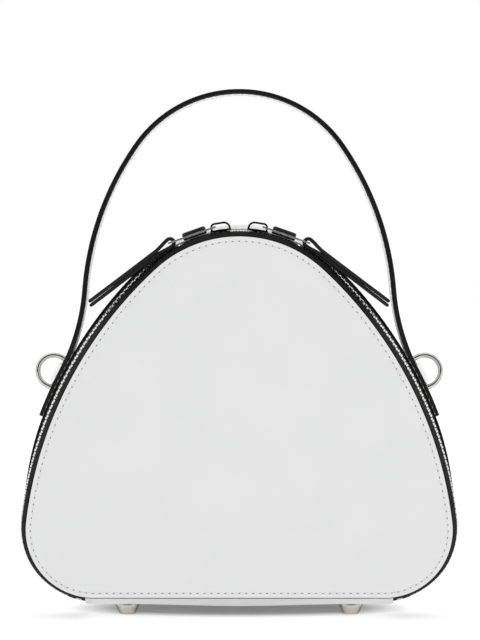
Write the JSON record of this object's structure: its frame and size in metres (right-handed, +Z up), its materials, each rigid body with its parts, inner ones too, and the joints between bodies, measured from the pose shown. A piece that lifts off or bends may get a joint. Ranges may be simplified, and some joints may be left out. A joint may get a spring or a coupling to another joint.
{
  "type": "crossbody bag",
  "caption": "Structured crossbody bag with a rounded triangular front flap, two-way zip round its edge, loop handle, side rings and feet.",
  "frame": {"origin": "middle of the bag on the floor that its feet stand on", "axes": "+X to the bag's left hand seen from behind (right in the picture), +Y to the back, so the front faces -Y, +Z up"},
  "size_m": [0.2468, 0.09, 0.294],
  "materials": {
    "white_leather": "smooth, satin, fine grain",
    "strap_leather": "smooth, satin, with black painted edges",
    "black_edge": "painted edge",
    "board": "matt",
    "lining": "plain woven",
    "zip_tape": "woven twill",
    "zip_metal": "polished nickel",
    "hardware": "polished and satin nickel",
    "black_leather": "smooth with painted edges"
  },
  "bodies": {
    "bag": {"back_panel": "white_leather", "rear_gusset": "white_leather", "base_panel": "white_leather", "ring_tab_left": "white_leather", "ring_tab_right": "white_leather", "handle_outer": "strap_leather", "handle_inner": "strap_leather", "handle_core": "black_edge", "back_stiffener": "board", "base_board": "board", "back_lining": "lining", "gusset_lining": "lining", "base_lining": "lining", "rear_zip_tape": "zip_tape", "rear_zip_teeth": "zip_metal", "rear_zip_stops": "zip_metal", "feet": "hardware", "foot_nuts": "hardware"},
    "front_flap": {"front_panel": "white_leather", "front_stiffener": "board", "front_lining": "lining", "front_zip_tape": "zip_tape", "front_zip_teeth": "zip_metal", "front_zip_stops": "zip_metal", "front_base_strip": "white_leather"},
    "left_slider": {"slider_left": "hardware"},
    "right_slider": {"slider_right": "hardware"},
    "left_pull": {"pull_plate_left": "hardware", "pull_pads_left": "black_leather"},
    "right_pull": {"pull_plate_right": "hardware", "pull_pads_right": "black_leather"},
    "left_tab": {"pull_tab_left": "black_leather"},
    "right_tab": {"pull_tab_right": "black_leather"},
    "left_ring": {"ring_left": "hardware"},
    "right_ring": {"ring_right": "hardware"}
  },
  "joints": [
    {"name": "flap_opening", "type": "hinge", "parent": "bag", "child": "front_flap", "pos_m": [0, -0.032, 0.0095], "axis": [1, 0, 0], "range_deg": [0, 55]},
    {"name": "left_slider_travel", "type": "hinge", "parent": "bag", "child": "left_slider", "pos_m": [0, -0.032, 0.1435], "axis": [0, 1, 0], "range_deg": [0, 2.8]},
    {"name": "left_pull_swing", "type": "hinge", "parent": "left_slider", "child": "left_pull", "pos_m": [-0.01362, -0.032, 0.2161], "axis": [0, 1, 0], "range_deg": [0, 90]},
    {"name": "left_tab_swing", "type": "hinge", "parent": "left_pull", "child": "left_tab", "pos_m": [-0.03826, -0.032, 0.20747], "axis": [0, 1, 0], "range_deg": [0, 45]},
    {"name": "left_ring_swing", "type": "hinge", "parent": "bag", "child": "left_ring", "pos_m": [-0.10362, 0.0235, 0.13175], "axis": [0.4462, 0, 0.8949], "range_deg": [-75, 50]},
    {"name": "right_slider_travel", "type": "hinge", "parent": "bag", "child": "right_slider", "pos_m": [0, -0.032, 0.1435], "axis": [0, -1, 0], "range_deg": [0, 2.8]},
    {"name": "right_pull_swing", "type": "hinge", "parent": "right_slider", "child": "right_pull", "pos_m": [0.01362, -0.032, 0.2161], "axis": [0, -1, 0], "range_deg": [0, 90]},
    {"name": "right_tab_swing", "type": "hinge", "parent": "right_pull", "child": "right_tab", "pos_m": [0.03826, -0.032, 0.20747], "axis": [0, -1, 0], "range_deg": [0, 45]},
    {"name": "right_ring_swing", "type": "hinge", "parent": "bag", "child": "right_ring", "pos_m": [0.10362, 0.0235, 0.13175], "axis": [0.4462, 0, -0.8949], "range_deg": [-75, 50]}
  ]
}
